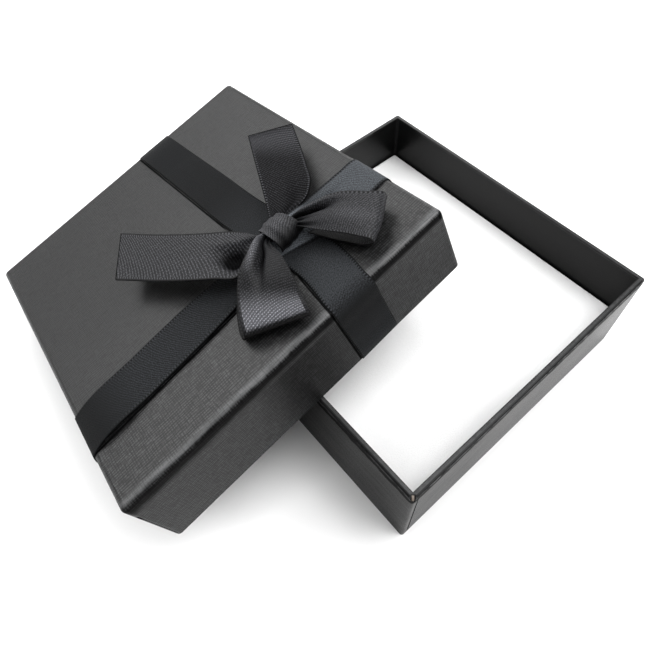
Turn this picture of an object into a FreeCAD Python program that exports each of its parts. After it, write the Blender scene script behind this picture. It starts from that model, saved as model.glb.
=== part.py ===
import FreeCAD
import Part
import Sketcher
import math
import os

Vector = FreeCAD.Vector

# Driving sizes, in millimetres, with angles and headings in degrees
SIZES = {
    # Tray, outside
    "tray_length": 90.0,
    "tray_width": 95.0,
    "tray_height": 31.0,
    "tray_edge_radius": 0.8,
    "tray_turn_in": 24.0,
    # Sheet stock and the glue lines between the sheets
    "board": 1.0,
    "paper": 0.18,
    "stay": 0.1,
    "glue": 0.03,
    "stay_reach": 14.0,
    "stay_margin": 2.0,
    # Foam pad that lies loose in the tray
    "pad_thickness": 14.0,
    "pad_gap": 0.4,
    "pad_edge_radius": 1.0,
    # Lid that fits over the tray
    "lid_height": 21.5,
    "lid_clearance": 0.35,
    "lid_edge_radius": 1.5,
    "lid_turn_in": 15.0,
    # Lean of the lid, with one corner on the floor and two walls on the tray's rim
    "lean_across_angle": 15.3,
    "lean_along_angle": 11.8,
    "rest_gap": 0.1,
    # Ribbon round the lid
    "ribbon_width": 12.7,
    "ribbon_thickness": 0.35,
    "ribbon_lie": 0.05,
    "ribbon_tuck": 9.0,
    "ribbon_gather": 5.0,
    "cross_band_angle": 1.1,
    "long_band_angle": 92.6,
    # Bow, tied where the two bands cross
    "bow_from_right": 29.4,
    "bow_from_front": 24.3,
    "bow_ribbon_width": 14.6,
    "bow_ribbon_thickness": 0.5,
    "bow_root_width": 3.4,
    "bow_flare": 14.0,
    "bow_root_height": 4.2,
    "knot_radius": 4.4,
    "knot_height": 7.4,
    "knot_crown_ratio": 0.5,
    "knot_heading": 52.0,
    "knot_gap": 0.2,
    "left_tail_heading": 134.3,
    "left_tail_length": 45.5,
    "left_tail_crest": 7.4,
    "left_tail_tip": 6.6,
    "left_tail_cut_angle": 14.0,
    "back_tail_heading": 56.8,
    "back_tail_length": 37.8,
    "back_tail_crest": 5.4,
    "back_tail_tip": 5.2,
    "back_tail_cut_angle": -8.0,
    "front_loop_heading": 236.0,
    "front_loop_length": 25.9,
    "right_loop_heading": 314.4,
    "right_loop_length": 24.6,
    "loop_crest": 9.4,
    "loop_foot": 1.7,
    "loop_fold_height": 5.0,
    "loop_crest_ratio": 0.55,
    "loop_bend_ratio": 0.3,
    "loop_bend_lead_ratio": 0.45,
}

doc = FreeCAD.newDocument("GiftBox")
sheet = doc.addObject("Spreadsheet::Sheet", "Sizes")
for row, (alias, value) in enumerate(SIZES.items(), start=1):
    sheet.set(f"A{row}", alias)
    sheet.set(f"B{row}", str(value))
    sheet.setAlias(f"B{row}", alias)
doc.recompute()


def size(alias):
    """Value of one named cell of the sheet."""
    return float(sheet.get(alias))


# Insets from the tray's outer outline, outwards to inwards through the tray's wall
TRAY_WRAP = "0"
TRAY_POCKET = "Sizes.paper"
TRAY_BOARD = f"{TRAY_POCKET} + Sizes.stay + 2 * Sizes.glue"
TRAY_INNER = f"{TRAY_BOARD} + Sizes.board"
TRAY_FACING = f"{TRAY_INNER} + Sizes.glue"
TRAY_LINED = f"{TRAY_FACING} + Sizes.paper"

# The same layers in the lid's wall, from the inside out, so that the insets are negative
LID_LINED = "-Sizes.lid_clearance"
LID_FACING = f"{LID_LINED} - Sizes.paper"
LID_INNER = f"{LID_FACING} - Sizes.glue"
LID_BOARD = f"{LID_INNER} - Sizes.board"
LID_POCKET = f"{LID_BOARD} - Sizes.stay - 2 * Sizes.glue"
LID_WRAP = f"{LID_POCKET} - Sizes.paper"

# Levels in the tray, from its underside
TRAY_BOARD_BOTTOM = "Sizes.paper + Sizes.glue"
TRAY_FLOOR = f"{TRAY_BOARD_BOTTOM} + Sizes.board"
TRAY_BOARD_TOP = "Sizes.tray_height - Sizes.paper - Sizes.glue"
TRAY_POCKET_TOP = "Sizes.tray_height - Sizes.paper"

# Levels in the lid, from the bottom edge of its walls
LID_BOARD_BOTTOM = "Sizes.paper + Sizes.glue"
LID_POCKET_TOP = "Sizes.lid_height - Sizes.paper"
LID_BOARD_TOP = f"{LID_POCKET_TOP} - Sizes.glue"
LID_CEILING = f"{LID_BOARD_TOP} - Sizes.board"

CUT_ALLOWANCE = 1.0
LEVEL_TOLERANCE = 0.001
UNPLACED = FreeCAD.Placement()


def wall_thickness():
    """Thickness of a finished wall: two papers, a board, and the corner tape with its glue lines."""
    return 2 * size("paper") + size("board") + size("stay") + 3 * size("glue")


def lid_outset():
    """How far the lid's outside stands out beyond the tray's outside."""
    return size("lid_clearance") + wall_thickness()


def lid_pose():
    """Pose of the leaning lid: its left corner on the floor, two of its walls on the tray's rim."""
    across = math.radians(size("lean_across_angle"))
    along = math.radians(size("lean_along_angle"))
    length = size("tray_length") + 2 * lid_outset()
    width = size("tray_width") + 2 * lid_outset()
    wall = wall_thickness()
    rim = size("tray_height") + size("rest_gap")
    fall = math.cos(across) * math.sin(along)
    corner_z = width * fall + size("rest_gap")
    drop_x = wall * math.sin(across) * math.sin(along)
    corner_x = -size("tray_length") / 2 - drop_x - (rim - corner_z + wall * fall) / math.tan(across)
    rise = corner_z + (length - wall) * math.sin(across) - rim
    corner_y = size("tray_width") / 2 - rise / (math.tan(along) * math.cos(across))
    rotation = FreeCAD.Rotation(0, -size("lean_across_angle"), -size("lean_along_angle"))
    middle = rotation.multVec(Vector(length / 2, width / 2, 0))
    return FreeCAD.Placement(Vector(corner_x, corner_y, corner_z) + middle, rotation)


def origin_plane(body, role):
    """One of a body's own origin planes."""
    return next(item for item in body.Origin.OriginFeatures if item.Role == role)


def rectangle(sketch, length, width):
    """Rectangle centred on the sketch's origin, its sides bound to two expressions."""
    side = size("tray_length")
    half = side / 2
    corners = [Vector(-half, -half, 0), Vector(half, -half, 0), Vector(half, half, 0), Vector(-half, half, 0)]
    for index in range(4):
        sketch.addGeometry(Part.LineSegment(corners[index], corners[(index + 1) % 4]), False)
    for index in range(4):
        sketch.addConstraint(Sketcher.Constraint("Coincident", index, 2, (index + 1) % 4, 1))
        direction = "Horizontal" if index % 2 == 0 else "Vertical"
        sketch.addConstraint(Sketcher.Constraint(direction, index))
    sketch.addConstraint(Sketcher.Constraint("Symmetric", 0, 1, 1, 2, -1, 1))
    for kind, line, expression in (("DistanceX", 0, length), ("DistanceY", 1, width)):
        constraint = sketch.addConstraint(Sketcher.Constraint(kind, line, 1, line, 2, side))
        sketch.setExpression(f"Constraints[{constraint}]", expression)


def block(name, inset, bottom, top, radius="", rounded="upright", pose=UNPLACED):
    """Rectangular block inset from the tray's outline, between two levels, with rounded edges."""
    body = doc.addObject("PartDesign::Body", name)
    outline = body.newObject("Sketcher::SketchObject", f"{name}_outline")
    outline.AttachmentSupport = [(origin_plane(body, "XY_Plane"), "")]
    outline.MapMode = "FlatFace"
    outline.setExpression("AttachmentOffset.Base.z", bottom)
    rectangle(outline, f"Sizes.tray_length - 2 * ({inset})", f"Sizes.tray_width - 2 * ({inset})")
    pad = body.newObject("PartDesign::Pad", f"{name}_pad")
    pad.Profile = outline
    pad.setExpression("Length", f"({top}) - ({bottom})")
    doc.recompute()
    if radius:
        ceiling = pad.Shape.BoundBox.ZMax
        edges = []
        for index, edge in enumerate(pad.Shape.Edges, start=1):
            standing = edge.BoundBox.ZLength > edge.Length / 2
            highest = edge.BoundBox.ZMin > ceiling - LEVEL_TOLERANCE
            if standing or (rounded == "top" and highest):
                edges.append(f"Edge{index}")
        rounding = body.newObject("PartDesign::Fillet", f"{name}_rounding")
        rounding.Base = (pad, edges)
        rounding.setExpression("Radius", radius)
    body.Placement = pose
    doc.recompute()
    return body


def boolean(kind, name, first, second):
    """Cut, Fuse or Common of two objects."""
    result = doc.addObject(f"Part::{kind}", name)
    result.Base = first
    result.Tool = second
    doc.recompute()
    return result


def feature(name, shape, pose):
    """Free-form piece whose shape is worked out here from the sheet."""
    result = doc.addObject("Part::Feature", name)
    result.Shape = shape
    result.Placement = pose
    return result


# Corners of the box, with their signs along X and Y
CORNERS = {"front": (-1, -1), "right": (1, -1), "back": (1, 1), "left": (-1, 1)}


def corner_stays(prefix, board_inset, board_radius, bottom, top, pose):
    """Four strips of tape, each folded round one corner of a board and clear of it by a glue line."""
    inner_inset = f"{board_inset} - Sizes.glue"
    outer_inset = f"{inner_inset} - Sizes.stay"
    outer_radius = f"{board_radius} + Sizes.stay"
    inner = block(f"{prefix}_stay_inside", inner_inset, bottom, top, board_radius, pose=pose)
    outer = block(f"{prefix}_stay_outside", outer_inset, bottom, top, outer_radius, pose=pose)
    ring = boolean("Cut", f"{prefix}_stay_ring", outer, inner)
    stays = []
    for corner, (sign_x, sign_y) in CORNERS.items():
        window = doc.addObject("Part::Box", f"{prefix}_stay_window_{corner}")
        for side, sign, span in (("Length", sign_x, "tray_length"), ("Width", sign_y, "tray_width")):
            window.setExpression(side, "2 * Sizes.stay_reach")
            axis = "x" if side == "Length" else "y"
            middle = f"{sign} * (Sizes.{span} / 2 - ({outer_inset}))"
            window.setExpression(f"Placement.Base.{axis}", f"{middle} - Sizes.stay_reach")
        window.setExpression("Height", f"({top}) - ({bottom})")
        window.setExpression("Placement.Base.z", bottom)
        doc.recompute()
        local = FreeCAD.Placement(window.Placement)
        window.setExpression("Placement.Base.x", None)
        window.setExpression("Placement.Base.y", None)
        window.setExpression("Placement.Base.z", None)
        window.Placement = pose.multiply(local)
        stays.append(boolean("Common", f"{prefix}_corner_stay_{corner}", ring, window))
    return stays


def make_tray():
    """Folded board, its corner tapes, the wall paper turned in over the rim, and the base sheet."""
    board_radius = "Sizes.tray_edge_radius - Sizes.paper"
    shell = block("tray_board_block", TRAY_BOARD, TRAY_BOARD_BOTTOM, TRAY_BOARD_TOP, board_radius, "top")
    room = block("tray_board_room", TRAY_INNER, TRAY_FLOOR, "Sizes.tray_height")
    board = boolean("Cut", "tray_board", shell, room)

    stay_bottom = f"{TRAY_BOARD_BOTTOM} + Sizes.stay_margin"
    stay_top = f"{TRAY_BOARD_TOP} - Sizes.stay_margin"
    stays = corner_stays("tray", TRAY_BOARD, board_radius, stay_bottom, stay_top, UNPLACED)

    outside = block("tray_wrap_block", TRAY_WRAP, TRAY_BOARD_BOTTOM, "Sizes.tray_height",
                    "Sizes.tray_edge_radius", "top")
    pocket = block("tray_wrap_pocket", TRAY_POCKET, "0", TRAY_POCKET_TOP, board_radius, "top")
    mouth = block("tray_wrap_mouth", TRAY_LINED, "0", f"Sizes.tray_height + {CUT_ALLOWANCE}")
    facing_bottom = "Sizes.tray_height - Sizes.tray_turn_in"
    facing = block("tray_facing_block", TRAY_FACING, facing_bottom, TRAY_POCKET_TOP)
    facing_ring = boolean("Cut", "tray_facing_ring", facing, mouth)
    hood = boolean("Cut", "tray_wrap_hood", boolean("Cut", "tray_wrap_shell", outside, pocket), mouth)
    wrap = boolean("Fuse", "tray_wall_wrap", hood, facing_ring)

    base = block("tray_base_sheet", TRAY_WRAP, "0", "Sizes.paper", "Sizes.tray_edge_radius")
    return [board, wrap, base] + stays


def make_pad():
    """Foam pad lying loose on the tray's floor."""
    bottom = f"{TRAY_FLOOR} + Sizes.glue"
    return block("foam_pad", f"{TRAY_LINED} + Sizes.pad_gap", bottom, f"{bottom} + Sizes.pad_thickness",
                 "Sizes.pad_edge_radius", "top")


def make_lid(pose):
    """Folded board, its corner tapes, the paper that covers it and is turned in, and the lining sheet."""
    board_radius = "Sizes.lid_edge_radius - Sizes.paper"
    shell = block("lid_board_block", LID_BOARD, LID_BOARD_BOTTOM, LID_BOARD_TOP, board_radius, "top", pose)
    room = block("lid_board_room", LID_INNER, "0", LID_CEILING, pose=pose)
    board = boolean("Cut", "lid_board", shell, room)

    stay_bottom = f"{LID_BOARD_BOTTOM} + Sizes.stay_margin"
    stay_top = f"{LID_BOARD_TOP} - Sizes.lid_edge_radius - Sizes.stay_margin"
    stays = corner_stays("lid", LID_BOARD, board_radius, stay_bottom, stay_top, pose)

    outside = block("lid_wrap_block", LID_WRAP, "0", "Sizes.lid_height", "Sizes.lid_edge_radius", "top", pose)
    pocket = block("lid_wrap_pocket", LID_POCKET, "Sizes.paper", LID_POCKET_TOP, board_radius, "top", pose)
    mouth = block("lid_wrap_mouth", LID_LINED, f"-{CUT_ALLOWANCE}", LID_CEILING, pose=pose)
    facing = block("lid_facing_block", LID_FACING, "Sizes.paper", "Sizes.lid_turn_in", pose=pose)
    facing_ring = boolean("Cut", "lid_facing_ring", facing, mouth)
    hood = boolean("Cut", "lid_wrap_hood", boolean("Cut", "lid_wrap_shell", outside, pocket), mouth)
    wrap = boolean("Fuse", "lid_wrap", hood, facing_ring)

    liner_top = f"{LID_CEILING} - Sizes.glue"
    liner = block("lid_liner", LID_LINED, f"{liner_top} - Sizes.paper", liner_top, pose=pose)
    return [board, wrap, liner] + stays


def ribbon_shell(name, lift, pose):
    """Layer of ribbon all round the lid: over the top, down the walls, under their edges and up inside."""
    outer_lie = f"{LID_WRAP} - Sizes.ribbon_lie"
    outer_face = f"{outer_lie} - Sizes.ribbon_thickness"
    inner_lie = f"{LID_LINED} + Sizes.ribbon_lie"
    inner_face = f"{inner_lie} + Sizes.ribbon_thickness"
    under = "-(Sizes.ribbon_lie + Sizes.ribbon_thickness)"
    over = f"Sizes.lid_height + Sizes.ribbon_lie + {lift}"
    lie_radius = "Sizes.lid_edge_radius + Sizes.ribbon_lie"
    outside = block(f"{name}_outside", outer_face, under, f"{over} + Sizes.ribbon_thickness",
                    f"{lie_radius} + Sizes.ribbon_thickness", "top", pose)
    inside = block(f"{name}_inside", outer_lie, "-Sizes.ribbon_lie", over, lie_radius, "top", pose)
    mouth = block(f"{name}_mouth", inner_face, f"{under} - {CUT_ALLOWANCE}",
                  f"Sizes.ribbon_tuck + {CUT_ALLOWANCE}", pose=pose)
    tuck = block(f"{name}_tuck", inner_lie, "-Sizes.ribbon_lie", "Sizes.ribbon_tuck", pose=pose)
    tuck_ring = boolean("Cut", f"{name}_tuck_ring", tuck, mouth)
    jacket = boolean("Cut", f"{name}_jacket", boolean("Cut", f"{name}_layer", outside, inside), mouth)
    return boolean("Fuse", f"{name}_shell", jacket, tuck_ring)


def plan_prism(points):
    """Upright prism over a plan outline, tall enough to pass right through the lid and the bow."""
    reach = size("lid_height") + size("loop_crest") + size("knot_height")
    outline = [Vector(x, y, -reach) for x, y in points]
    return Part.Face(Part.makePolygon(outline + outline[:1])).extrude(Vector(0, 0, 2 * reach))


def bow_spot():
    """Where the bands cross and the bow is tied, on the lid's top, in the lid's own frame."""
    half_length = size("tray_length") / 2 + lid_outset()
    half_width = size("tray_width") / 2 + lid_outset()
    spot_x = half_length - size("bow_from_right")
    spot_y = size("bow_from_front") - half_width
    return Vector(spot_x, spot_y, size("lid_height"))


def turned(spot, heading):
    """Placement at a spot of the lid's frame, turned about the lid's upright axis."""
    return FreeCAD.Placement(spot, FreeCAD.Rotation(Vector(0, 0, 1), heading))


def make_bands(pose):
    """Long band straight across the lid, and the cross band over it, gathered where the bow is tied."""
    half = size("ribbon_width") / 2
    far = size("tray_length") + size("tray_width")
    spot = bow_spot()
    plain = [(-far, -half), (far, -half), (far, half), (-far, half)]
    long_place = pose.multiply(turned(spot, size("long_band_angle")))
    long_plan = feature("long_band_plan", plan_prism(plain), long_place)
    long_shell = ribbon_shell("long_band", "0", pose)
    long_band = boolean("Common", "ribbon_long_band", long_shell, long_plan)

    pinch = size("ribbon_gather") / 2
    tied = size("knot_radius")
    flare = size("bow_flare")
    spread = size("bow_from_right")
    near_side = [(-far, -half), (-flare, -half), (-tied, -pinch)]
    near_side += [(tied, -pinch), (spread, -half), (far, -half)]
    far_side = [(x, -y) for x, y in reversed(near_side)]
    gathered = near_side + far_side
    cross_place = pose.multiply(turned(spot, size("cross_band_angle")))
    cross_plan = feature("cross_band_plan", plan_prism(gathered), cross_place)
    cross_shell = ribbon_shell("cross_band", "Sizes.ribbon_thickness + Sizes.ribbon_lie", pose)
    cross_band = boolean("Common", "ribbon_cross_band", cross_shell, cross_plan)
    return [long_band, cross_band]


def upright(x, z):
    """Point of a ribbon's side view, along its heading and above the lid."""
    return Vector(x, 0, z)


def spread_face(face):
    """Side view of a ribbon piece, spread to both sides of its heading."""
    reach = size("bow_ribbon_width")
    face.translate(Vector(0, -reach, 0))
    return face.extrude(Vector(0, 2 * reach, 0))


def flared_plan(length, cut_angle):
    """Plan of a bow piece: narrow at the knot, flaring to the ribbon's width, its end cut on the slant."""
    root_half = size("bow_root_width") / 2
    half = size("bow_ribbon_width") / 2
    slant = half * math.tan(math.radians(cut_angle))
    points = [(0, -root_half), (size("bow_flare"), -half), (length + slant, -half)]
    points += [(length - slant, half), (size("bow_flare"), half), (0, root_half)]
    return plan_prism(points)


def bow_piece(name, shape, plan, heading, pose):
    """Ribbon piece cut to its plan, stopped short of the knot and turned to its heading."""
    half = size("knot_radius") + size("knot_gap")
    room = plan_prism([(-half, -half), (half, -half), (half, half), (-half, half)])
    room.rotate(Vector(0, 0, 0), Vector(0, 0, 1), size("knot_heading") - heading)
    piece = shape.common(plan).cut(room)
    return feature(name, piece.Solids[0], pose.multiply(turned(bow_spot(), heading)))


def tail(side, pose):
    """Loose end of the bow: one layer of ribbon that arches from the knot to its tip."""
    length = size(f"{side}_tail_length")
    crest = size(f"{side}_tail_crest")
    tip = size(f"{side}_tail_tip")
    thickness = size("bow_ribbon_thickness")
    reach = length + size("bow_ribbon_width") / 2
    lower = [upright(0, size("bow_root_height")), upright(length / 2, crest), upright(reach, tip)]
    upper = [point + Vector(0, 0, thickness) for point in lower]
    edges = [Part.Arc(*lower).toShape(), Part.LineSegment(lower[2], upper[2]).toShape()]
    edges += [Part.Arc(*reversed(upper)).toShape(), Part.LineSegment(upper[0], lower[0]).toShape()]
    strip = spread_face(Part.Face(Part.Wire(edges)))
    plan = flared_plan(length, size(f"{side}_tail_cut_angle"))
    return bow_piece(f"bow_tail_{side}", strip, plan, size(f"{side}_tail_heading"), pose)


def loop(side, pose):
    """Loop of the bow: ribbon that leaves the knot, folds over at its far end and comes back below."""
    length = size(f"{side}_loop_length")
    thickness = size("bow_ribbon_thickness")
    root = upright(0, size("bow_root_height"))
    middle = length * size("loop_crest_ratio")
    crest = upright(middle, size("loop_crest"))
    foot = upright(middle, size("loop_foot"))
    fold = upright(length, size("loop_fold_height"))
    bend = (size("loop_crest") - size("loop_foot")) * size("loop_bend_ratio")
    bend_start = length - bend * size("loop_bend_lead_ratio")
    shoulder = upright(bend_start, size("loop_fold_height") + bend)
    heel = upright(bend_start, size("loop_fold_height") - bend)
    outline = Part.Wire([
        Part.Arc(root, crest, shoulder).toShape(),
        Part.Arc(shoulder, fold, heel).toShape(),
        Part.Arc(heel, foot, root).toShape(),
    ])
    hollow = outline.makeOffset2D(-thickness)
    band = spread_face(Part.Face(outline)).cut(spread_face(Part.Face(hollow)))
    plan = flared_plan(length + thickness, 0)
    return bow_piece(f"bow_loop_{side}", band, plan, size(f"{side}_loop_heading"), pose)


def crowned_face(half, seat, shoulder):
    """Side view of the knot: flat underneath, upright at the sides and crowned on top."""
    corners = [upright(-half, shoulder), upright(-half, seat), upright(half, seat), upright(half, shoulder)]
    crown = Part.Arc(corners[-1], upright(0, size("knot_height")), corners[0]).toShape()
    return Part.Face(Part.Wire([crown] + Part.makePolygon(corners).Edges))


def knot(name, pose):
    """Knot of the bow: a pillow crowned along and across, standing on the crossed bands."""
    seat = 2 * (size("ribbon_thickness") + size("ribbon_lie")) + size("ribbon_lie")
    shoulder = seat + (size("knot_height") - seat) * size("knot_crown_ratio")
    along = spread_face(crowned_face(size("knot_radius"), seat, shoulder))
    across = spread_face(crowned_face(size("knot_radius"), seat, shoulder))
    across.rotate(Vector(0, 0, 0), Vector(0, 0, 1), 90)
    shape = along.common(across)
    return feature(name, shape.Solids[0], pose.multiply(turned(bow_spot(), size("knot_heading"))))


def make_bow(pose):
    """Knot, two tails and two loops."""
    pieces = [knot("bow_knot", pose)]
    pieces += [tail(side, pose) for side in ("left", "back")]
    pieces += [loop(side, pose) for side in ("front", "right")]
    return pieces


def export(nodes):
    """Checks every object and each node's solids, then writes one file per node."""
    doc.recompute()
    for item in doc.Objects:
        if "Invalid" in item.State or "Error" in item.State:
            raise RuntimeError(f"{item.Name} failed: {item.State}")
    os.makedirs("parts", exist_ok=True)
    for node in nodes:
        if node.Shape.isNull() or not node.Shape.isValid() or not node.Shape.Solids:
            raise RuntimeError(f"{node.Name} has no valid solid")
    for node in nodes:
        node.Label = node.Name
        node.Shape.exportStep(f"parts/{node.Label}.step")
        print(f"{node.Label}: {len(node.Shape.Solids)} solid, {node.Shape.Volume:.1f} mm3")


def main():
    pose = lid_pose()
    nodes = make_tray() + [make_pad()] + make_lid(pose) + make_bands(pose) + make_bow(pose)
    export(nodes)


main()
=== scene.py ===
import math

import bmesh
import bpy
import numpy as np
from bpy.props import FloatProperty, FloatVectorProperty, PointerProperty
from mathutils import Matrix, Vector


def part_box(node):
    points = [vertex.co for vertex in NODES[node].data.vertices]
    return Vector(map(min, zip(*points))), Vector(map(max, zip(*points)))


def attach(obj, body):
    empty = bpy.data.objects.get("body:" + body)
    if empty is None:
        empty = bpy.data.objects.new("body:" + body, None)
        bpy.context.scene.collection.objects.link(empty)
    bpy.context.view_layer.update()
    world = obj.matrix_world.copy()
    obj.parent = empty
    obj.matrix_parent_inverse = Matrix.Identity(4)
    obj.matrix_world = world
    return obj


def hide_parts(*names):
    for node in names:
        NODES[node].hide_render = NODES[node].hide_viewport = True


bl_info = {
    "name": "Gift box",
    "version": (1, 0, 0),
    "blender": (4, 5, 0),
    "location": "3D View > Sidebar > Gift box",
    "description": "Dresses a lid-and-tray gift box: papers, felt pad, ribbon bands and a tied bow",
    "category": "Object",
}

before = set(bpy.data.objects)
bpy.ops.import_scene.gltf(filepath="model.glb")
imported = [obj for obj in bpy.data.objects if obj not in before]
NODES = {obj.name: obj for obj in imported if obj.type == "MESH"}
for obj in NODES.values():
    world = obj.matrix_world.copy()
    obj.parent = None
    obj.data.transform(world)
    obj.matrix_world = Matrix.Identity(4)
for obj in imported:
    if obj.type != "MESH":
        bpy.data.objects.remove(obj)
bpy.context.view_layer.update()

# Finishes and ribbons are measured in millimetres, the stage in metres.
MM = 0.001

# Half of the tray's size along X and along Y, and its height.
TRAY_HALF_X, TRAY_HALF_Y, TRAY_TOP = 45.0, 47.5, 31.0

# Pitch of the lid paper's embossed threads, and of the stitches along the ribbon's edges.
LINEN_PITCH = 0.64
STITCH_PITCH = 0.8

# Length of the lid's front, thickness of its walls, how far a band stands off them along its
# tight edge and along its lifted one, and how much of it is turned in under them.
LID_LENGTH = 93.8
LID_WALL = 1.55
BAND_TIGHT, BAND_LIFTED = 0.22, 0.4
BAND_TUCK = 9.0

# The table's reach from the middle, and how far it lies below the tray.
TABLE_REACH = 1.3
TABLE_DROP = 0.0001

# The studio's backdrop, between its darkest and its palest.
SKY_DARK, SKY_PALE = (0.02, 0.02, 0.02, 1), (0.35, 0.35, 0.35, 1)

# Softboxes turned to the middle of the tray: name, place, sides and power in watts.
LAMPS = (
    ("back_panel", (-0.2, 0.76, 0.70), (1.1, 0.65), 9.0),
    ("overhead_softbox", (0.0, -0.08, 1.0), (0.7, 0.6), 5.0),
    ("high_right_softbox", (0.4, -0.2, 1.0), (0.7, 0.6), 6.4),
    ("low_front_softbox", (0.0, -0.95, 0.35), (0.9, 0.4), 2.6),
    ("front_right_softbox", (0.45, -0.65, 0.62), (0.6, 0.5), 3.6),
    ("left_softbox", (-0.55, 0.25, 0.8), (0.35, 0.35), 0.8),
    ("right_softbox", (0.7, -0.1, 0.8), (0.6, 0.6), 1.0),
    ("back_right_softbox", (0.65, 0.6, 0.5), (0.6, 0.5), 3.4),
)

# The photo's camera, fitted to the corners of the box. Focal length and sensor in millimetres.
CAMERA_PLACE = (-0.080159, -0.064171, 0.161937)
CAMERA_RIGHT = (0.763123, -0.6452, -0.036871)
CAMERA_UP = (0.538457, 0.603249, 0.588349)
CAMERA_AWAY = (-0.35736, -0.468836, 0.807766)
FOCAL_LENGTH, SENSOR_WIDTH = 32.338, 36
LENS_SHIFT = (0.01333, -0.06912)
CLIP_START = 0.01


def sheet_colour(name, value, words):
    """Property for the colour of one sheet material."""
    return FloatVectorProperty(
        name=name, description=words, default=value, size=3, min=0, max=1, subtype="COLOR")


class GIFTBOX_PG_sizes(bpy.types.PropertyGroup):
    """Sizes that shape the soft pieces."""

    lean_across: FloatProperty(
        name="Lean across", description="How far the lid leans about the tray's Y axis",
        default=math.radians(15.3), subtype="ANGLE", unit="ROTATION")
    lean_along: FloatProperty(
        name="Lean along", description="How far the lid leans about its own front edge",
        default=math.radians(11.8), subtype="ANGLE", unit="ROTATION")
    band_thickness: FloatProperty(
        name="Band thickness", description="Thickness of the ribbon round the lid",
        default=0.3 * MM, subtype="DISTANCE", unit="LENGTH")
    bow_thickness: FloatProperty(
        name="Bow thickness", description="Thickness of the ribbon in the bow",
        default=0.34 * MM, subtype="DISTANCE", unit="LENGTH")
    pad_crown: FloatProperty(
        name="Pad crown", description="How far the middle of the pad stands above its edges",
        default=0.3 * MM, subtype="DISTANCE", unit="LENGTH")
    pad_rounding: FloatProperty(
        name="Pad rounding", description="Radius of the pad's soft edges",
        default=0.7 * MM, subtype="DISTANCE", unit="LENGTH")


class GIFTBOX_PG_colours(bpy.types.PropertyGroup):
    """Colours of the sheets, ribbons and floor."""

    lid_paper: sheet_colour(
        "Lid paper", (0.008, 0.0081, 0.0083), "Linen-embossed paper on the lid")
    tray_paper: sheet_colour("Tray paper", (0.003, 0.003, 0.0031), "Black paper on the tray")
    lining_paper: sheet_colour("Lining paper", (0.02, 0.02, 0.02), "Sheet that lines the lid")
    board: sheet_colour("Greyboard", (0.30, 0.245, 0.205), "Pressed board under the paper")
    tape: sheet_colour(
        "Corner tape", (0.42, 0.30, 0.19), "Gummed paper over the board's corners")
    felt: sheet_colour("Pad", (0.86, 0.86, 0.86), "Soft pad in the tray")
    band: sheet_colour("Band ribbon", (0.0132, 0.0144, 0.016), "Ribbon round the lid")
    bow: sheet_colour("Bow ribbon", (0.0212, 0.0214, 0.0236), "Ribbon of the bow")
    floor: sheet_colour("Floor", (0.92, 0.92, 0.92), "Table the box stands on")


class Thread:
    """One socket in a tree of nodes. Arithmetic on it adds Math nodes."""

    def __init__(self, tree, socket=None):
        self.tree = tree
        self.socket = socket

    def node(self, kind, settings=None, sockets=None, out=0):
        """Adds a node of any kind: first its settings, then the values or links of its sockets."""
        made = self.tree.nodes.new(kind)
        for name, value in (settings or {}).items():
            setattr(made, name, value)
        for key, value in (sockets or {}).items():
            feed(made.inputs[key], value)
        return Thread(self.tree, made.outputs[out])

    def maths(self, operation, *values):
        """Adds a Math node."""
        return self.node("ShaderNodeMath", {"operation": operation}, dict(enumerate(values)))

    def __add__(self, other):
        return self.maths("ADD", self, other)

    def __sub__(self, other):
        return self.maths("SUBTRACT", self, other)

    def __rsub__(self, other):
        return self.maths("SUBTRACT", other, self)

    def __mul__(self, other):
        return self.maths("MULTIPLY", self, other)

    def __abs__(self):
        return self.maths("ABSOLUTE", self)

    __radd__ = __add__
    __rmul__ = __mul__

    def wave(self, period):
        """Sine of a distance, one full turn in each period."""
        return self.maths("SINE", self * (math.tau / period))

    def rise(self, low, high):
        """0 below low, 1 above high, smooth between."""
        return self.node("ShaderNodeMapRange", {"interpolation_type": "SMOOTHSTEP"},
                         {"Value": self, "From Min": low, "From Max": high})

    def between(self, rising, falling):
        """Rises from 0 to 1 over one span and falls back to 0 over the next."""
        return self.rise(*rising) * (1 - self.rise(*falling))

    def stretch(self, scale):
        """A vector multiplied axis by axis."""
        return self.node(
            "ShaderNodeVectorMath", {"operation": "MULTIPLY"}, {0: self, 1: scale})

    def noise(self, scale, detail=2.0, roughness=0.5):
        """Even noise, or streaks where the three scales differ. Scales are per millimetre."""
        return self.node("ShaderNodeTexNoise", {"noise_dimensions": "3D"}, {
            "Vector": self.stretch(scale), "Scale": 1.0, "Detail": detail, "Roughness": roughness})

    def axes(self):
        """The three parts of a vector."""
        parts = self.node("ShaderNodeSeparateXYZ", None, {0: self}).socket.node
        return [Thread(self.tree, socket) for socket in parts.outputs]

    def blend(self, first, second):
        """Colour between two, by this factor."""
        return self.node(
            "ShaderNodeMix", {"data_type": "RGBA"}, {0: self, 6: first, 7: second}, 2)


def feed(socket, value):
    """Links a thread to an input socket, or sets a plain value on it."""
    if isinstance(value, Thread):
        value.tree.links.new(value.socket, socket)
    else:
        socket.default_value = value


def shade(colour, times):
    """A colour made lighter or darker, with its alpha."""
    return (*[min(1.0, part * times) for part in colour], 1.0)


def object_space(start, space=None):
    """Object coordinates in millimetres, in the shared frame or in a leaning one."""
    inverse = (space or Matrix.Scale(MM, 4)).inverted()
    place, turn, scale = inverse.decompose()
    return start.node("ShaderNodeMapping", {"vector_type": "POINT"}, {
        "Vector": start.node("ShaderNodeTexCoord", out="Object"),
        "Location": place, "Rotation": turn.to_euler(), "Scale": scale})


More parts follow.
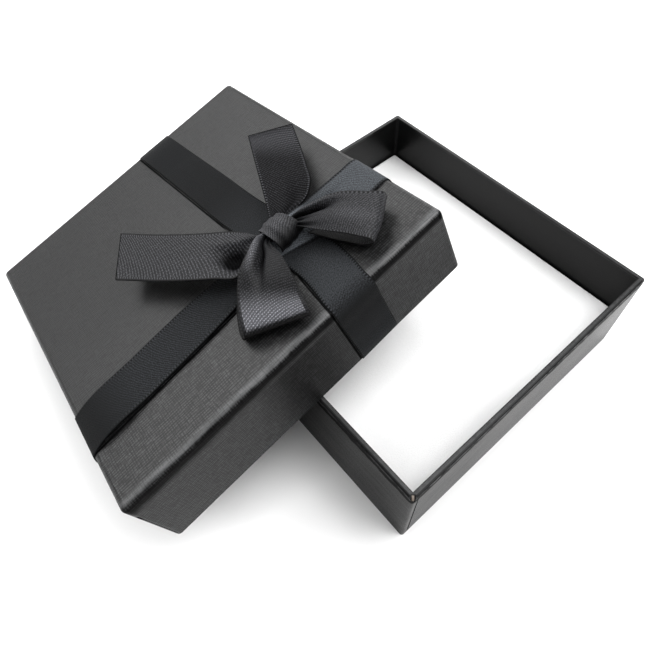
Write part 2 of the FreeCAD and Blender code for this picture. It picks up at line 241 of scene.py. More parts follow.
def new_finish(name):
    """A material with only its shader, and a thread to start nodes from."""
    material = bpy.data.materials.new(name)
    material.use_nodes = True
    tree = material.node_tree
    shader = next(node for node in tree.nodes if node.type == "BSDF_PRINCIPLED")
    return material, shader, Thread(tree)


def wire(shader, colour, roughness, height=None, relief=0.05, shine=0.5):
    """Feeds the shader. The height goes through a bump of this relief in millimetres."""
    feed(shader.inputs["Base Color"], colour)
    feed(shader.inputs["Roughness"], roughness)
    feed(shader.inputs["Specular IOR Level"], shine)
    if height is not None:
        feed(shader.inputs["Normal"], height.node("ShaderNodeBump", None, {
            "Height": height, "Strength": 1.0, "Distance": relief * MM}))


def either(*marks):
    """How far a place is covered by any of several marks, each from 0 to 1."""
    bare = 1 - marks[0]
    for mark in marks[1:]:
        bare = bare * (1 - mark)
    return 1 - bare


def shadow(shader, *marks):
    """Mixes matte black into a finish: painted shade in its creases and hollows, and the dark of
    its seams.
    """
    start = Thread(shader.id_data)
    black = start.node("ShaderNodeBsdfDiffuse", None, {"Color": (0.001, 0.001, 0.001, 1)})
    lit = Thread(start.tree, shader.outputs[0])
    mixed = start.node("ShaderNodeMixShader", None, {0: either(*marks), 1: lit, 2: black})
    output = next(node for node in start.tree.nodes if node.type == "OUTPUT_MATERIAL")
    feed(output.inputs["Surface"], mixed)


def spot(*spans):
    """1 within every span of (distance, middle, half width), fading to 0 outside."""
    inside = None
    for distance, middle, half in spans:
        near = 1 - abs(distance - middle).rise(half * 0.7, half * 1.2)
        inside = near if inside is None else inside * near
    return inside


def linen_paper(colour, space):
    """Paper embossed with crossed linen threads, with a painted highlight and painted shade along
    its front fold.

    In the lid's space u runs along its front edge, v along its left edge and w out of its top.
    """
    material, shader, start = new_finish("lid_linen_paper")
    place = object_space(start, space)
    u, v, w = place.axes()
    front = 1 - v.rise(0.4, 0.9)

    # Threads along u and across it, with painted glints, and where they are streaked dark.
    wander = place.noise((0.2, 0.2, 0.2), 1.0) * 0.6
    along = place.noise((0.34, 3.1, 3.1)) + (v + w + wander).wave(LINEN_PITCH) * 0.12
    crossing = place.noise((3.1, 0.42, 0.42)) + (u + wander).wave(LINEN_PITCH) * 0.1
    threads = (along * 0.58 + crossing * 0.42).rise(0.36, 0.64)
    painted_glint = along.rise(0.5, 0.68) * crossing.rise(0.35, 0.6) * (1 - v.rise(8, 50))
    streak = along.rise(0.6, 0.72) + crossing.rise(0.6, 0.72) * 0.7
    cloud = place.noise((0.03, 0.03, 0.03), 3.0)

    # The top's front edge: a painted highlight on the ridge and painted shade in the fold below it.
    ridge = (1 - v.rise(1.0, 3.0)) * w.rise(-0.5, -0.12)
    ridge_patches = place.noise((0.09, 0.4, 0.4)).rise(0.36, 0.62)
    below = (w + crossing * 0.45 + ridge_patches * 0.18) * (0.62 + 0.38 * u.rise(8, 60))
    painted_fold_shading = below.between((-2.7, -1.1), (-0.35, 0.1))

    # The front wall: the paper's seam, and painted shade in dents at both ends and on a stretch
    # left of the band.
    seam = spot((u, 0.75, 0.16), (w, -13.5, 8.0)) * front
    painted_dent_shade = spot((u, 0.2, 0.8), (w, -6.0, 1.0))
    painted_dent_shade = painted_dent_shade + spot((u, LID_LENGTH - 1.2, 0.4), (w, -1.2, 0.8)) * 0.6
    painted_wall_shade = (0.1 + 0.25 * cloud) * (1 - 0.5 * u.rise(58, 72)) + 0.36 * u.between((32, 45), (49, 62))
    painted_wall_shade = painted_wall_shade * front * (1 - w.rise(-4.0, -2.0))

    # Painted shadow on the paper beside the cross band and beside the long band, before and behind
    # the bow.
    painted_band_shadow = spot((v - u * 0.062, 16.68, 0.3)) * (1 - u.rise(54, 56)) * (1 - front)
    painted_band_shadow = painted_band_shadow + spot((u - v * 0.1, 59.22, 0.24)) * (1 - v.rise(13, 16))
    painted_band_shadow = painted_band_shadow + spot((u + v * 0.044, 59.25, 0.24)) * v.rise(42, 46)

    paint = (threads * 0.8 + cloud * 0.2).blend(shade(colour, 0.1), shade(colour, 2.2))
    # Painted highlight: glints on threads near the top's front.
    paint = (painted_glint * 0.8).blend(paint, shade(colour, 7.5))
    patchy_highlight = ridge * (0.2 + crossing) * (0.35 + 0.65 * ridge_patches)
    # Painted highlight along the ridge, in patches.
    paint = patchy_highlight.blend(paint, shade(colour, 14.0))
    wire(shader, paint, 0.39 - 0.06 * threads - 0.08 * ridge, threads, relief=0.025, shine=0.33)
    # Painted shade in the fold, on the front wall, in the dents and beside the bands; the streaks
    # and the seam are the paper's own.
    shadow(shader, painted_wall_shade, painted_fold_shading * 0.84, streak * 0.2, seam * 0.8, painted_dent_shade * front, painted_band_shadow * 0.85)
    return material


def black_paper(colour, board):
    """Smooth black paper, rubbed and creased at the rim, with painted highlights and shade, the
    board showing at the front corner.
    """
    material, shader, start = new_finish("tray_black_paper")
    place = object_space(start)
    x, y, z = place.axes()
    grain = place.noise((2.2, 2.2, 2.2), 3.0, 0.6)
    cloud = place.noise((0.05, 0.05, 0.08))
    crease = place.noise((0.35, 0.35, 0.8), 3.0, 0.6)
    streaks = place.noise((0.1, 0.1, 0.9), 3.0, 0.6)
    outer = either(abs(x).rise(TRAY_HALF_X - 0.7, TRAY_HALF_X - 0.3),
                   abs(y).rise(TRAY_HALF_Y - 0.7, TRAY_HALF_Y - 0.3))

    # The rim: a little lighter where rubbed, with painted highlight lines, and painted shade
    # in the crease under it on the outside.
    rim = z.rise(TRAY_TOP - 0.8, TRAY_TOP - 0.3)
    line = spot((abs(x), TRAY_HALF_X - 1.05, 0.34)) * 1.7
    line = line + spot((abs(y), TRAY_HALF_Y - 1.0, 0.34)) * 1.15
    patchy_highlight = place.noise((0.9, 0.9, 0.9), 3.0, 0.7).rise(0.35, 0.7)
    rim_wear_and_highlight = (0.12 + (0.35 + 0.65 * patchy_highlight) * line) * rim
    painted_crease_shade = spot((z + crease * 2.6, TRAY_TOP - 0.3, 1.1)) * outer

    # The seam by the front corner with the step beside it, and a painted highlight on a fold inside
    # the back corner.
    wall = (y, -TRAY_HALF_Y - 0.1, 0.5)
    seam = spot((x, 1.9 - TRAY_HALF_X, 0.22), wall, (z, 15.0, 15.0))
    step = (1 - x.rise(1.8 - TRAY_HALF_X, 2.0 - TRAY_HALF_X)) * spot(wall, (z, 15.0, 16.0))
    painted_fold_shading = spot((x, TRAY_HALF_X - 1.4, 0.9), (y, TRAY_HALF_Y - 2.0, 0.5), (z, 22.0, 9.0))

    # The rim's front corner: an open gap in the paper with painted shade in it, and the cut board
    # inside it.
    inward = x + y + (TRAY_HALF_X + TRAY_HALF_Y)
    aside = x - y + (TRAY_HALF_X - TRAY_HALF_Y)
    painted_gap_shade = spot((inward, 1.3, 1.25), (aside, 0.1, 0.85), (z, TRAY_TOP, 1.2))
    cut = spot((inward, 1.35, 0.85), (aside, 0.0, 0.42), (z, TRAY_TOP, 1.2))

    paint = (grain * 0.5 + cloud * 0.5).blend(shade(colour, 0.7), shade(colour, 1.5))
    # Rubbed wear on the rim, with painted highlight lines.
    paint = rim_wear_and_highlight.blend(paint, shade(colour, 11.0))
    # Painted highlight on the fold inside the back corner.
    paint = (painted_fold_shading * 0.7).blend(paint, shade(colour, 10.0))
    paint = cut.blend(paint, shade(board, 0.5))
    rough = 0.2 + 0.08 * cloud - 0.03 * rim + 0.06 * (1 - outer)
    height = grain * 0.02 + crease * rim * 0.1 + step * 0.08
    wire(shader, paint, rough, height, relief=1.0, shine=0.15)
    # Painted shade over the outer walls, streaky, stronger towards -X and none on the rim.
    painted_wall_shade = outer * (0.05 + 0.36 * grain + 0.38 * streaks) * (1 - rim) * (1 - 0.35 * x.rise(-40, 30))
    shadow(shader, painted_wall_shade, painted_crease_shade * 0.75, seam, painted_gap_shade * (1 - cut))
    return material


def lining(colour):
    """Plain dark sheet inside the lid."""
    material, shader, start = new_finish("lid_lining_paper")
    grain = object_space(start).noise((3.0, 3.0, 3.0), 3.0)
    paint = grain.blend(shade(colour, 0.7), shade(colour, 1.4))
    wire(shader, paint, 0.7, grain, relief=0.02)
    return material


def greyboard(colour):
    """Pressed board with pale and dark fibres."""
    material, shader, start = new_finish("greyboard")
    place = object_space(start)
    fibre = place.noise((1.6, 0.5, 1.6), 4.0, 0.7)
    fleck = place.noise((0.9, 1.7, 0.9)).rise(0.6, 0.72)
    paint = fibre.blend(shade(colour, 0.75), shade(colour, 1.2))
    paint = fleck.blend(paint, shade(colour, 0.5))
    wire(shader, paint, 0.85, fibre)
    return material


def gummed_tape(colour):
    """Brown gummed paper with fine lines."""
    material, shader, start = new_finish("corner_tape")
    line = object_space(start).noise((0.3, 0.3, 4.0))
    paint = line.blend(shade(colour, 0.8), shade(colour, 1.15))
    wire(shader, paint, 0.6, line, relief=0.02)
    return material


def white_felt(colour):
    """White flock with fine short fibres and a soft uneven nap."""
    material, shader, start = new_finish("pad_white_felt")
    place = object_space(start)
    nap = place.noise((2.6, 2.6, 2.6), 4.0, 0.7)
    cloud = place.noise((0.06, 0.06, 0.06), 3.0)
    paint = (nap * 0.5 + cloud * 0.5).blend(shade(colour, 0.93), shade(colour, 1.04))
    wire(shader, paint, 0.95, nap, relief=0.12, shine=0.15)
    return material


def white_floor(colour):
    """Matte white table top with a barely seen grain."""
    material, shader, start = new_finish("white_table")
    cloud = object_space(start).noise((0.01, 0.01, 0.01))
    wire(shader, cloud.blend(shade(colour, 0.99), shade(colour, 1.01)), 0.9, shine=0.1)
    return material


def satin(name, colour, *, half, rib, slant, contrast, rough, shine,
          dotted=0.5, bend=0.02, stitched=3.0, lights=(), painted_shades=()):
    """Ribbon: broken slanting ribs, painted glints and highlights, painted shade in its hollows
    and a stitched edge on both sides.

    half: half the ribbon's width; rib: pitch of the ribs, which slant and bend across it.
    contrast: how far the ribs stand out; dotted: how far they are broken up.
    stitched: how bright the stitches are, in times the colour.
    Stretches of painted highlight and of painted shade begin, peak and end at distances from
    the ribbon's last point, each with the times the colour it comes to.
    """
    material, shader, start = new_finish(name)
    weave = start.node("ShaderNodeUVMap", {"uv_map": "weave"})
    hollow = start.node("ShaderNodeAttribute", {"attribute_name": "hollow"}, out="Fac")
    crest = start.node("ShaderNodeAttribute", {"attribute_name": "crest"}, out="Fac")
    across, along, _ = weave.axes()

    wander = weave.noise((0.5, 0.5, 1.0), 1.0) * 0.5
    ribs = (along + across * slant + across * across * bend + wander).wave(rib).rise(0.0, 1.0)
    bricks = (across - along * slant + wander).wave(rib).rise(-0.8, 0.5)
    yarn = weave.noise((3.0, 3.0, 1.0), 2.0, 0.7).rise(0.35, 0.7)
    painted_yarn_glint = weave.noise((3.4, 2.2, 1.0), 1.0).rise(0.58, 0.72)
    woven = ribs * (1 - dotted + dotted * bricks) * (0.6 + 0.8 * yarn)
    cloth = woven * contrast + yarn * ((1 - contrast) * 0.5)
    sheen = 0.15 + 0.85 * cloth

    inside = half - abs(across)
    border = 1 - inside.rise(0.65, 0.85)
    stitch = border * inside.rise(0.2, 0.35) * along.wave(STITCH_PITCH).rise(0.0, 0.5)
    cut = 1 - along.rise(0.2, 0.45)

    paint = cloth.blend(shade(colour, 0.2), shade(colour, 3.6))
    # Painted glints on the yarn.
    paint = (painted_yarn_glint * contrast).blend(paint, shade(colour, 4.0))
    # Painted highlights along stretches of the ribbon.
    for begin, peak, end, times in lights:
        reached = along.between((begin, peak), (peak, end))
        paint = (reached * sheen).blend(paint, shade(colour, times))
    # Painted highlight on raised crests.
    paint = (crest.rise(0.3, 1.0) * sheen).blend(paint, shade(colour, 18.0))
    paint = (border * 0.9).blend(paint, shade(colour, 0.12))
    paint = (stitch * 0.7).blend(paint, shade(colour, stitched))
    # Painted shade along stretches of the ribbon.
    for begin, peak, end, times in painted_shades:
        reached = along.between((begin, peak), (peak, end))
        paint = reached.blend(paint, shade(colour, times))
    height = cloth * (1 - border) + stitch * 0.6
    wire(shader, paint, rough + 0.2 * yarn, height, relief=0.06, shine=shine)
    # Painted shade in sunk hollows; the cut end is darkened too.
    shadow(shader, hollow.rise(0.1, 1.0) * 0.9, cut * 0.85)
    return material


def dress(piece, material):
    """Gives a piece one material."""
    piece.data.materials.clear()
    piece.data.materials.append(material)


def new_piece(name, bm):
    """An object in the scene with the faces of a bmesh, which is freed."""
    mesh = bpy.data.meshes.new(name)
    bm.to_mesh(mesh)
    bm.free()
    piece = bpy.data.objects.new(name, mesh)
    bpy.context.scene.collection.objects.link(piece)
    return piece


def node_points(name, matrix):
    """A node's points, each multiplied by a matrix."""
    return np.array([matrix @ vertex.co for vertex in NODES[name].data.vertices])


def lid_space(sizes):
    """From millimetres on the lid to the shared frame: zero at its top's front corner, Z out."""
    across = Matrix.Rotation(-sizes.lean_across, 4, "Y")
    turn = across @ Matrix.Rotation(-sizes.lean_along, 4, "X")
    points = node_points("lid_wrap", turn.inverted())
    low, high = points.min(0), points.max(0)
    return turn @ Matrix.Translation((low[0], low[1], high[2])) @ Matrix.Scale(MM, 4)


def smooth_line(points, stations, at):
    """Points of a smooth line through the given ones, which stand at these distances along it."""
    gaps = np.diff(stations)[:, None]
    slopes = np.diff(points, axis=0) / gaps
    middle = (slopes[:-1] * gaps[1:] + slopes[1:] * gaps[:-1]) / (gaps[1:] + gaps[:-1])
    leads = np.vstack([slopes[:1], middle, slopes[-1:]])
    index = np.clip(np.searchsorted(stations, at, side="right") - 1, 0, len(gaps) - 1)
    span = gaps[index]
    t = (at - stations[index])[:, None] / span
    start = (2 * t ** 3 - 3 * t ** 2 + 1) * points[index]
    start += (t ** 3 - 2 * t ** 2 + t) * span * leads[index]
    end = (3 * t ** 2 - 2 * t ** 3) * points[index + 1]
    end += (t ** 3 - t ** 2) * span * leads[index + 1]
    return start + end


def ribbon_form(left, right, grid, folds, pleats):
    """Rows of points between two edges, how far each is raised or sunk, and the ribbon's length.

    folds: (share across, place along, reach across, reach along, height) of each.
    pleats: (number, depth, fade, place along) of each set.
    """
    columns, rows = grid
    edges = [np.asarray(edge, float) for edge in (left, right)]
    steps = sum(np.linalg.norm(np.diff(edge, axis=0), axis=1) for edge in edges) / 2
    stations = np.concatenate([[0], np.cumsum(steps)])
    length = stations[-1]
    at = np.linspace(0, length, rows + 1)
    across = np.linspace(0, 1, columns + 1)
    first, last = (smooth_line(edge, stations, at)[:, None] for edge in edges)
    body = first * (1 - across)[None, :, None] + last * across[None, :, None]
    normal = np.cross(np.gradient(body, axis=1), np.gradient(body, axis=0))
    normal /= np.linalg.norm(normal, axis=2)[:, :, None] + 1e-9

    s, d = np.meshgrid(across, at)
    lift = np.zeros_like(s)
    for across_at, along_at, across_reach, along_reach, height in folds:
        beside, beyond = (s - across_at) / across_reach, (d - along_at) / along_reach
        lift += height * np.exp(-beside ** 2 - beyond ** 2)
    for count, depth, fade, along_at in pleats:
        strength = depth * np.exp(-((d - along_at) / fade) ** 2)
        lift += strength * np.cos(math.tau * count * s)
    return body + normal * lift[:, :, None], lift, length


def ribbon(name, left, right, width, space, grid, folds=(), pleats=(), flip=1):
    """Ribbon laid between its two edges, its weave mapped in millimetres, and its length."""
    columns, rows = grid
    body, lift, length = ribbon_form(left, right, grid, folds, pleats)
    bm = bmesh.new()
    weave = bm.loops.layers.uv.new("weave")
    hollow = bm.verts.layers.float.new("hollow")
    crest = bm.verts.layers.float.new("crest")
    bmesh.ops.create_grid(bm, x_segments=columns, y_segments=rows, size=0.5, calc_uvs=True)
    for face in bm.faces:
        face.smooth = True
        for loop in face.loops:
            share = loop[weave].uv
            loop[weave].uv = ((share.x - 0.5) * width * flip, (1 - share.y) * length)
    for vertex in bm.verts:
        column = round((vertex.co.x + 0.5) * columns)
        row = round((vertex.co.y + 0.5) * rows)
        vertex.co = space @ Vector(body[row, column])
        # Sunk points carry painted shade and raised points a painted highlight in the satin.
        vertex[hollow] = max(0.0, -lift[row, column] / 2)
        vertex[crest] = max(0.0, lift[row, column] / 2)
    return new_piece(name, bm), length


def thicken(piece, thickness):
    """Smooths a ribbon and gives it its thickness."""
    smoothing = piece.modifiers.new("smooth", "SUBSURF")
    smoothing.levels = smoothing.render_levels = 1
    shell = piece.modifiers.new("thickness", "SOLIDIFY")
    shell.thickness = thickness
    shell.offset = 0


def lid_ribbon(name, node, slot, material, thickness, flat, held, rests_on, **shape):
    """One ribbon piece on the lid, in place of its solid."""
    piece, length = ribbon(name, width=flat, **shape)
    thicken(piece, thickness)
    dress(piece, material)
    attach(piece, "lid")
    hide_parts(node)
    length * MM


def lay_table(scene):
    """White table top under the box."""
    bm = bmesh.new()
    bmesh.ops.create_grid(bm, x_segments=8, y_segments=8, size=TABLE_REACH)
    bmesh.ops.translate(bm, verts=bm.verts, vec=(0, 0, -TABLE_DROP))
    table = new_piece("table", bm)
    dress(table, white_floor(scene.giftbox_colours.floor))


def hang_backdrop(scene):
    """World that is pale at the horizon, dark above it and dim overhead."""
    world = bpy.data.worlds.new("studio")
    world.use_nodes = True
    start = Thread(world.node_tree)
    height = start.node("ShaderNodeTexCoord", out="Generated").axes()[2]
    pale = height.rise(0.35, 0.95) * 0.4 + (1 - height.rise(0.08, 0.34))
    background = world.node_tree.nodes["Background"]
    feed(background.inputs["Color"], pale.blend(SKY_DARK, SKY_PALE))
    scene.world = world


def hang_lamps(scene):
    """Softboxes round the box."""
    for name, place, sides, power in LAMPS:
        light = bpy.data.lights.new(name, "AREA")
        light.shape = "RECTANGLE"
        light.size, light.size_y = sides
        light.energy = power
        lamp = bpy.data.objects.new(name, light)
        aim = (-Vector(place)).to_track_quat("-Z", "Y").to_matrix().to_4x4()
        lamp.matrix_world = Matrix.Translation(place) @ aim
        scene.collection.objects.link(lamp)


def set_camera(scene):
    """The camera of the photo."""
    lens = bpy.data.cameras.new("camera")
    lens.sensor_fit = "HORIZONTAL"
    lens.sensor_width = SENSOR_WIDTH
    lens.lens = FOCAL_LENGTH
    lens.shift_x, lens.shift_y = LENS_SHIFT
    lens.clip_start = CLIP_START
    camera = bpy.data.objects.new("camera", lens)
    turn = Matrix((CAMERA_RIGHT, CAMERA_UP, CAMERA_AWAY)).transposed().to_4x4()
    camera.matrix_world = Matrix.Translation(CAMERA_PLACE) @ turn
    scene.collection.objects.link(camera)
    scene.camera = camera


class GIFTBOX_OT_stage(bpy.types.Operator):
    """White table, soft light and the camera"""

    bl_idname = "giftbox.stage"
    bl_label = "Table, light and camera"

    def execute(self, context):
        scene = context.scene
        scene.view_settings.view_transform = "Standard"
        lay_table(scene)
        hang_backdrop(scene)
        hang_lamps(scene)
        set_camera(scene)
        return {"FINISHED"}


class GIFTBOX_OT_tray(bpy.types.Operator):
    """Papers, board and tape of the tray, and the lid's tape"""

    bl_idname = "giftbox.tray"
    bl_label = "Tray"

    def execute(self, context):
        colours = context.scene.giftbox_colours
        paper = black_paper(colours.tray_paper, colours.board)
        dress(NODES["tray_wall_wrap"], paper)
        dress(NODES["tray_base_sheet"], paper)
        dress(NODES["tray_board"], greyboard(colours.board))
        tape = gummed_tape(colours.tape)
        for name in NODES:
            if "corner_stay" in name:
                dress(NODES[name], tape)
        return {"FINISHED"}


class GIFTBOX_OT_pad(bpy.types.Operator):
    """Soft white pad in the tray"""

    bl_idname = "giftbox.pad"
    bl_label = "Pad"

    def execute(self, context):
        sizes = context.scene.giftbox_sizes
        low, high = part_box("foam_pad")
        middle, reach = (low + high) / 2, high - low
        bm = bmesh.new()
        bmesh.ops.create_cube(bm, size=1.0)
        bmesh.ops.scale(bm, vec=reach, verts=bm.verts)
        bmesh.ops.bevel(bm, geom=bm.edges, offset=sizes.pad_rounding, segments=4, profile=0.5,
                        affect="EDGES", material=-1)
        long_edges = [edge for edge in bm.edges if edge.calc_length() > reach.z / 2]
        bmesh.ops.subdivide_edges(bm, edges=long_edges, cuts=15, use_grid_fill=True)
        bmesh.ops.translate(bm, verts=bm.verts, vec=middle)
        for vertex in bm.verts:
            if vertex.co.z > high.z - sizes.pad_rounding:
                arch_x = 1 - (2 * (vertex.co.x - middle.x) / reach.x) ** 2
                arch_y = 1 - (2 * (vertex.co.y - middle.y) / reach.y) ** 2
                vertex.co.z += sizes.pad_crown * max(0, arch_x * arch_y) ** 0.5
        for face in bm.faces:
            face.smooth = True
        pad = new_piece("felt_pad", bm)
        dress(pad, white_felt(context.scene.giftbox_colours.felt))
        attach(pad, "pad")
        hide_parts("foam_pad")
        return {"FINISHED"}


class GIFTBOX_OT_lid(bpy.types.Operator):
    """Linen paper, board and lining of the lid"""

    bl_idname = "giftbox.lid"
    bl_label = "Lid"

    def execute(self, context):
        colours = context.scene.giftbox_colours
        space = lid_space(context.scene.giftbox_sizes)
        dress(NODES["lid_wrap"], linen_paper(colours.lid_paper, space))
        dress(NODES["lid_board"], NODES["tray_board"].data.materials[0])
        dress(NODES["lid_liner"], lining(colours.lining_paper))
        return {"FINISHED"}


def wall_run(height, out):
    """A band's edge from its turned-in end, round a wall's foot and up to the top.

    Each point is its distance in from the wall's face and its height over the lid's top.
    """
    inner = LID_WALL + BAND_TIGHT
    return [
        (inner, BAND_TUCK - height), (inner, BAND_TUCK / 2 - height), (inner, 1.2 - height),
        (inner - 0.4, -height - out * 0.7), (LID_WALL / 2, -height - out),
        (0.4 - out, -height - out * 0.7), (-out, 1.0 - height), (-out, -height * 0.66),
        (-out, -height * 0.33), (-out, -1.9), (0.25, -0.35), (1.7, out),
    ]


class GIFTBOX_OT_bands(bpy.types.Operator):
    """Two ribbon bands round the lid"""

    bl_idname = "giftbox.bands"
    bl_label = "Bands"

    def execute(self, context):
        scene = context.scene
        sizes = scene.giftbox_sizes
        band = scene.giftbox_colours.band
        common = {"rib": 0.6, "slant": 0.5, "rough": 0.6, "shine": 0.1}
        # Painted light and shade along the bands: the long band lighter on the top's front and
        # darker down the front wall and behind the bow; the cross band lighter on its right half
        # and under the knot, darker on its left.
        cloth = satin(
            "band_satin", band, half=6.2, contrast=0.15, **common,
            lights=[(32, 36, 60, 3.4)], painted_shades=[(8, 29, 33.5, 0.25), (66, 90, 200, 0.35)])
        twisted = satin(
            "band_satin_twisted", band, half=6.5, contrast=0.3, **common,
            lights=[(-5, 38, 74, 9.2), (50, 62, 76, 18.0)], painted_shades=[(106, 124, 190, 0.35)])

        space = lid_space(sizes)
        points = node_points("lid_wrap", space.inverted())
        length, width = points.max(0)[:2]
        height = -points.min(0)[2]
        tight, lifted = wall_run(height, BAND_TIGHT), wall_run(height, BAND_LIFTED)

        left = [(66.7, width - inward, up) for inward, up in tight]
        left += [(67.6, 80, 0.25), (68.5, 61, 0.25), (69.2, 43, 0.3), (71.4, 26, 0.35),
                 (72.7, 14, 0.3), (72.2, 7, 0.25)]
        left += [(71.4, inward, up) for inward, up in reversed(tight)]
        right = [(55.3, width - inward, up) for inward, up in lifted]
        right += [(56.2, 80, 0.9), (57.0, 60, 0.9), (57.7, 43, 0.9), (59.6, 26, 0.9),
                  (60.8, 13, 0.9), (60.2, 7, 0.9)]
        right += [(59.5, inward, up) for inward, up in reversed(lifted)]
        lid_ribbon(
            "long_band", "ribbon_long_band", "ribbon", cloth, sizes.band_thickness, 12.4,
            "stretched", ["lid_wrap"], left=left, right=right, space=space, grid=(12, 220))

        left = [(inward, 29.8, up) for inward, up in tight]
        left += [(20, 31.4, 0.25), (40, 32.0, 0.3), (52, 31.0, 0.8), (60, 28.8, 2.6),
                 (66, 27.4, 5.2), (70.5, 26.8, 5.6), (74, 27.7, 4.2), (78, 29.2, 2.6),
                 (84, 30.5, 1.2), (89, 31.0, 0.6)]
        left += [(length - inward, 31.4, up) for inward, up in reversed(tight)]
        right = [(inward, 16.9, up) for inward, up in lifted]
        right += [(20, 18.0, 0.8), (40, 19.3, 0.9), (52, 20.8, 0.9), (60, 22.0, 0.85),
                  (65, 20.8, 0.9), (70.5, 19.0, 0.9), (75, 18.6, 0.8), (80, 18.4, 0.6),
                  (85, 18.3, 0.4), (89, 18.3, 0.3)]
        right += [(length - inward, 18.4, up) for inward, up in reversed(tight)]
        lid_ribbon(
            "cross_band", "ribbon_cross_band", "ribbon", twisted, sizes.band_thickness, 13.0,
            "gathered", ["lid_wrap", "long_band"], left=left, right=right, space=space,
            grid=(32, 240),
            folds=[(0.12, 108, 0.05, 9, 0.6), (0.27, 108, 0.04, 9.5, -1.5),
                   (0.40, 108, 0.05, 8.5, 0.7), (0.55, 107, 0.04, 8.5, -1.3),
                   (0.70, 107, 0.06, 7, 0.6)])
        return {"FINISHED"}


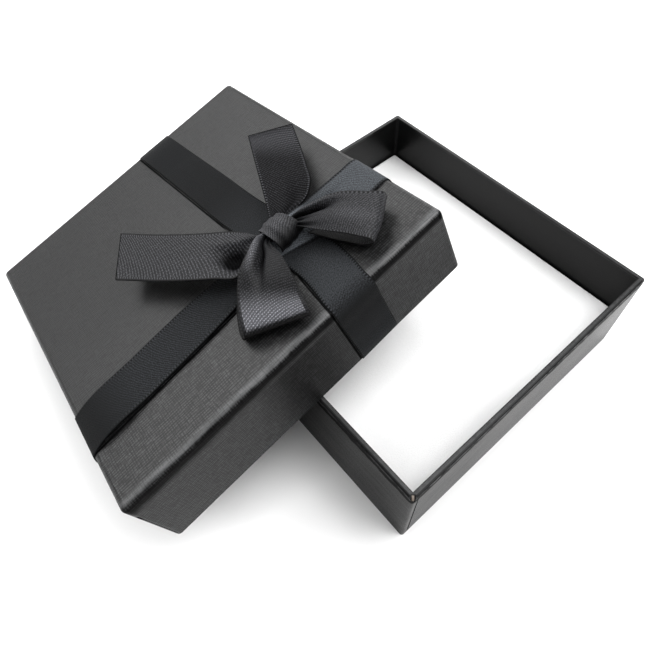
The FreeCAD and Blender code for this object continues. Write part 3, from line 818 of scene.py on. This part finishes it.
class GIFTBOX_OT_bow(bpy.types.Operator):
    """Knot, tails and loops of the bow"""

    bl_idname = "giftbox.bow"
    bl_label = "Bow"

    def execute(self, context):
        scene = context.scene
        sizes = scene.giftbox_sizes
        bow = Vector(scene.giftbox_colours.bow)
        # The knot's and the front loop's colours are a lighter and a darker copy of the ribbon's,
        # painted light and shade; the back tail's copy is darker and reverses the ribs' slant, with
        # a painted sheen at its end.
        plain = satin(
            "bow_satin", bow, half=7.3, rib=1.0, slant=0.5, bend=0.03, contrast=0.72,
            dotted=0.6, rough=0.4, shine=0.14, stitched=3.6)
        # Painted shade on the knot's front end.
        fine = satin(
            "bow_satin_fine", bow * 1.35, half=6.6, rib=0.6, slant=0.4, contrast=0.6,
            dotted=0.6, rough=0.4, shine=0.15, painted_shades=[(-6.0, 2.2, 7.2, 0.05)])
        # Painted shade on the loop's lower ply and by its root.
        looped = satin(
            "bow_satin_loop", bow * 0.98, half=6.6, rib=0.62, slant=0.55, contrast=0.45,
            dotted=0.6, rough=0.4, shine=0.15,
            painted_shades=[(-20.0, 12.0, 22.0, 0.08), (35.0, 47.0, 60.0, 0.3)])
        # Painted highlight just above the front loop's bottom fold, and painted shade in the fold.
        painted_front_loop_satin = satin(
            "bow_satin_front", bow * 0.46, half=7.3, rib=0.66, slant=0.5, contrast=0.66,
            dotted=0.85, rough=0.4, shine=0.14,
            lights=[(25.8, 26.8, 34.6, 35.0)], painted_shades=[(14.0, 25.2, 26.2, 0.02)])
        reverse = satin(
            "bow_satin_reverse", bow * 0.38, half=7.2, rib=0.85, slant=-0.62, contrast=0.8,
            dotted=0.6, rough=0.5, shine=0.05, stitched=10.0, lights=[(-2.0, 4.0, 15.0, 10.0)])

        common = {
            "slot": "bow_ribbon", "thickness": sizes.bow_thickness, "space": lid_space(sizes)}
        lid_ribbon(
            "knot_wrap", node="bow_knot", material=fine, flat=10.0, held="gathered",
            rests_on=["cross_band"], grid=(24, 60),
            left=[(67.8, 30.0, 1.2), (67.8, 30.3, 3.4), (67.6, 28.6, 6.2), (68.7, 24.6, 7.5),
                  (69.5, 22.1, 6.3), (69.6, 21.7, 4.4), (69.5, 22.5, 2.8)],
            right=[(62.0, 29.6, 1.2), (62.0, 29.9, 3.2), (61.7, 28.2, 6.2), (61.8, 23.6, 7.6),
                   (62.2, 21.2, 6.3), (62.2, 20.8, 4.4), (62.1, 21.6, 2.8)],
            folds=[(0.5, 11, 0.35, 7, 0.8)], pleats=[(3, 0.1, 30, 10)], **common)
        lid_ribbon(
            "left_tail", node="bow_tail_left", material=plain, flat=15.0, held="gathered",
            rests_on=["knot_wrap"], grid=(28, 80),
            left=[(63.0, 25.0, 3.6), (60.2, 26.4, 4.0), (55.8, 25.0, 4.5), (50.5, 22.3, 5.6),
                  (46.0, 26.1, 6.6), (38.5, 34.9, 6.9), (27.7, 50.6, 6.2)],
            right=[(63.5, 27.6, 4.0), (61.3, 29.0, 4.6), (59.7, 31.3, 5.6), (57.4, 34.3, 6.4),
                   (52.8, 39.0, 7.2), (45.3, 48.9, 7.4), (36.3, 63.7, 6.8)],
            folds=[(0.4, 12, 0.2, 4.2, -3.0), (0.72, 11, 0.1, 6, 0.9)],
            pleats=[(2.5, 0.7, 7, 0)], **common)
        lid_ribbon(
            "back_tail", node="bow_tail_back", material=reverse, flat=14.4, held="gathered",
            rests_on=["knot_wrap"], grid=(28, 70),
            left=[(65.0, 28.0, 4.2), (66.2, 30.9, 5.0), (67.8, 33.9, 5.6), (70.5, 39.6, 5.8),
                  (75.0, 49.7, 5.6), (80.3, 61.3, 5.4)],
            right=[(68.0, 26.0, 3.6), (71.0, 27.3, 4.6), (75.4, 27.0, 5.4), (78.9, 28.6, 6.3),
                   (82.3, 34.3, 6.6), (90.2, 51.7, 5.8)],
            folds=[(0.6, 8, 0.25, 6, -0.9)], pleats=[(2.5, 0.5, 6, 0)], **common)
        lid_ribbon(
            "front_loop", node="bow_loop_front", material=painted_front_loop_satin, flat=14.6, held="folded",
            rests_on=["knot_wrap"], grid=(28, 120),
            left=[(63.0, 24.0, 5.4), (61.8, 23.4, 6.0), (60.5, 14.8, 8.6), (59.0, 9.1, 7.8),
                  (57.5, 5.2, 6.0), (56.5, 2.4, 4.4), (56.2, 1.8, 3.3), (55.4, 2.9, 2.0),
                  (57.2, 11.0, 1.6), (61.0, 23.0, 2.4)],
            right=[(62.6, 26.0, 5.6), (60.8, 25.6, 6.2), (56.6, 23.0, 8.4), (51.3, 19.3, 9.2),
                   (46.8, 15.5, 7.4), (43.1, 10.1, 4.8), (42.3, 9.0, 3.5), (41.7, 10.3, 2.0),
                   (45.9, 19.5, 1.6), (59.5, 26.4, 2.4)],
            folds=[(0.83, 8, 0.13, 8, 2.2), (0.63, 9, 0.07, 8, -2.0)],
            pleats=[(2.5, 0.5, 5, 0)], **common)
        lid_ribbon(
            "right_loop", node="bow_loop_right", material=looped, flat=13.2, held="folded",
            rests_on=["knot_wrap"], grid=(28, 120), flip=-1,
            left=[(68.6, 24.6, 5.4), (70.2, 23.9, 6.0), (72.7, 21.6, 8.0), (75.9, 19.3, 9.2),
                  (79.8, 17.2, 9.2), (84.6, 12.9, 7.4), (87.4, 11.1, 5.6), (87.8, 11.2, 4.0),
                  (87.1, 12.6, 2.4), (79.9, 19.0, 1.6), (70.8, 24.2, 2.6)],
            right=[(67.6, 23.0, 5.0), (68.7, 21.4, 5.4), (69.9, 17.4, 6.4), (71.4, 13.4, 6.8),
                   (73.6, 9.4, 6.4), (75.6, 5.6, 5.6), (76.6, 4.0, 4.8), (76.8, 4.0, 3.6),
                   (76.3, 5.3, 2.4), (73.0, 13.1, 1.6), (69.4, 22.0, 2.4)],
            folds=[(0.08, 6, 0.08, 7, 1.2), (0.25, 7, 0.09, 6, -2.4), (0.55, 18, 0.4, 12, 0.9)],
            pleats=[(3, 0.6, 6, 0)], **common)
        return {"FINISHED"}


OPERATORS = (
    GIFTBOX_OT_stage, GIFTBOX_OT_tray, GIFTBOX_OT_pad, GIFTBOX_OT_lid, GIFTBOX_OT_bands,
    GIFTBOX_OT_bow)


class GIFTBOX_PT_panel(bpy.types.Panel):
    """Sizes, colours and making of the gift box"""

    bl_idname = "GIFTBOX_PT_panel"
    bl_label = "Gift box"
    bl_space_type = "VIEW_3D"
    bl_region_type = "UI"
    bl_category = "Gift box"

    def draw(self, context):
        for group in (context.scene.giftbox_sizes, context.scene.giftbox_colours):
            column = self.layout.column()
            for name in group.__annotations__:
                column.prop(group, name)
        for operator in OPERATORS:
            self.layout.operator(operator.bl_idname)


CLASSES = (GIFTBOX_PG_sizes, GIFTBOX_PG_colours, *OPERATORS, GIFTBOX_PT_panel)


def register():
    for item in CLASSES:
        bpy.utils.register_class(item)
    bpy.types.Scene.giftbox_sizes = PointerProperty(type=GIFTBOX_PG_sizes)
    bpy.types.Scene.giftbox_colours = PointerProperty(type=GIFTBOX_PG_colours)


def unregister():
    del bpy.types.Scene.giftbox_colours
    del bpy.types.Scene.giftbox_sizes
    for item in reversed(CLASSES):
        bpy.utils.unregister_class(item)


def main():
    register()
    bpy.ops.giftbox.stage()
    bpy.ops.giftbox.tray()
    bpy.ops.giftbox.pad()
    bpy.ops.giftbox.lid()
    bpy.ops.giftbox.bands()
    bpy.ops.giftbox.bow()


if __name__ == "__main__":
    main()
